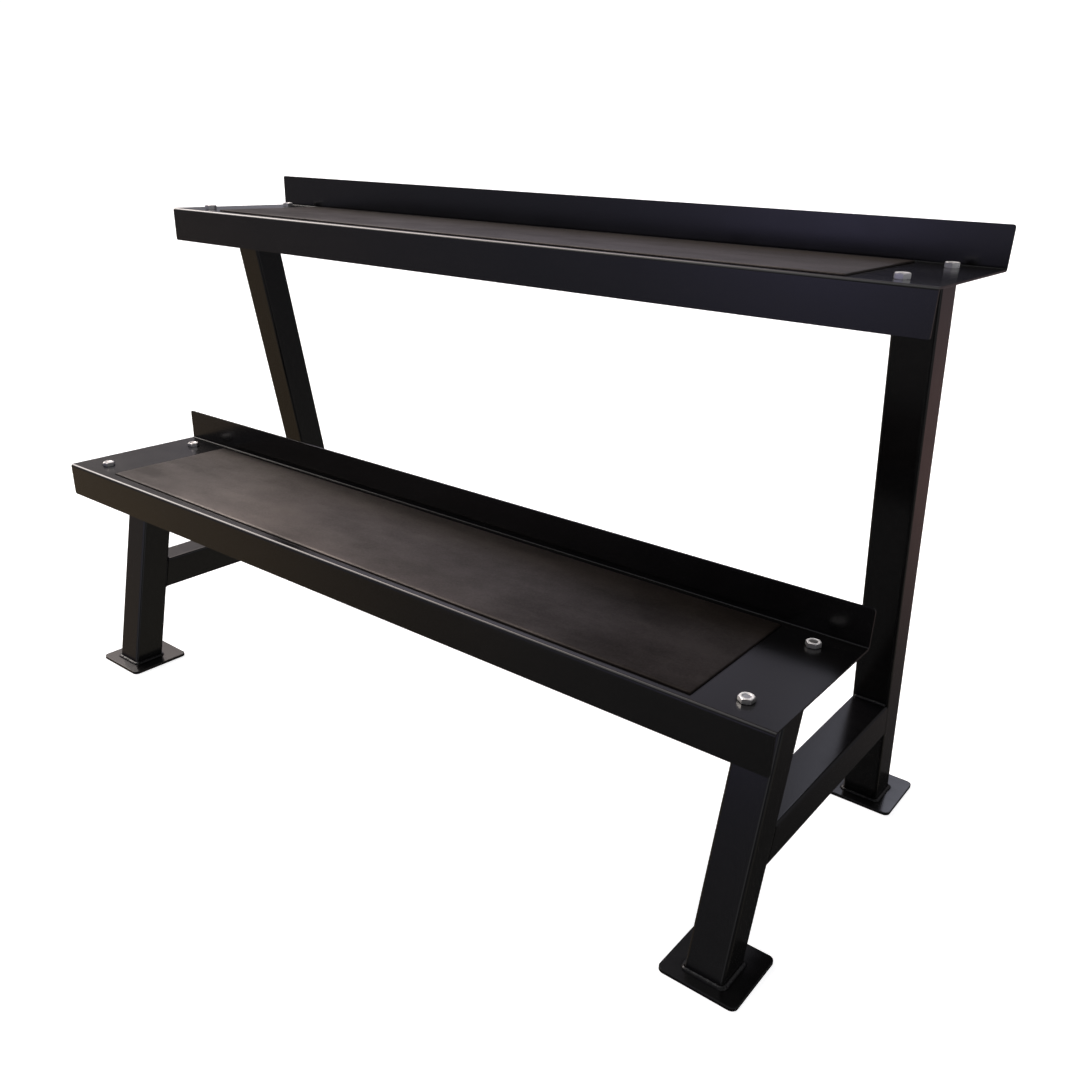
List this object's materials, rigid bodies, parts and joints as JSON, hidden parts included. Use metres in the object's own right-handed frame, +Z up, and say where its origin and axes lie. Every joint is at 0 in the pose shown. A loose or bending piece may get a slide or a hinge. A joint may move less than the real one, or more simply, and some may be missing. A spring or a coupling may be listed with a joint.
{
  "type": "dumbbell rack",
  "caption": "Free-standing two-tier rack of folded steel shelves with rubber mats, stepped back and bolted on two welded end frames of leaning square tube.",
  "frame": {"origin": "on the floor at the middle of the rack's footprint", "axes": "+X along the shelves to the right as seen from the front, +Y from the front to the back, +Z up"},
  "size_m": [1.5, 0.6676, 0.944],
  "materials": {
    "black_powder_coat": "gloss black powder coat with a faint orange peel",
    "coated_weld": "rippled weld bead under the same gloss black coat",
    "rubber_mat": "matte grey-brown sheet rubber",
    "zinc_fasteners": "bright zinc plate"
  },
  "bodies": {
    "root": {"left_front_foot_plate": "black_powder_coat", "right_front_foot_plate": "black_powder_coat", "left_rear_foot_plate": "black_powder_coat", "right_rear_foot_plate": "black_powder_coat", "left_front_leg": "black_powder_coat", "right_front_leg": "black_powder_coat", "left_rear_upright": "black_powder_coat", "right_rear_upright": "black_powder_coat", "left_side_rail": "black_powder_coat", "right_side_rail": "black_powder_coat", "lower_left_mount_plate": "black_powder_coat", "lower_right_mount_plate": "black_powder_coat", "upper_left_mount_plate": "black_powder_coat", "upper_right_mount_plate": "black_powder_coat", "lower_shelf": "black_powder_coat", "upper_shelf": "black_powder_coat", "lower_mat": "rubber_mat", "upper_mat": "rubber_mat", "lower_left_bolts": "zinc_fasteners", "lower_right_bolts": "zinc_fasteners", "upper_left_bolts": "zinc_fasteners", "upper_right_bolts": "zinc_fasteners", "lower_left_washers": "zinc_fasteners", "lower_right_washers": "zinc_fasteners", "upper_left_washers": "zinc_fasteners", "upper_right_washers": "zinc_fasteners", "lower_left_nuts": "zinc_fasteners", "lower_right_nuts": "zinc_fasteners", "upper_left_nuts": "zinc_fasteners", "upper_right_nuts": "zinc_fasteners", "left_front_foot_weld": "coated_weld", "right_front_foot_weld": "coated_weld", "left_rear_foot_weld": "coated_weld", "right_rear_foot_weld": "coated_weld", "left_rail_welds": "coated_weld", "right_rail_welds": "coated_weld", "lower_left_mount_welds": "coated_weld", "lower_right_mount_welds": "coated_weld", "upper_left_mount_welds": "coated_weld", "upper_right_mount_welds": "coated_weld"}
  },
  "joints": []
}
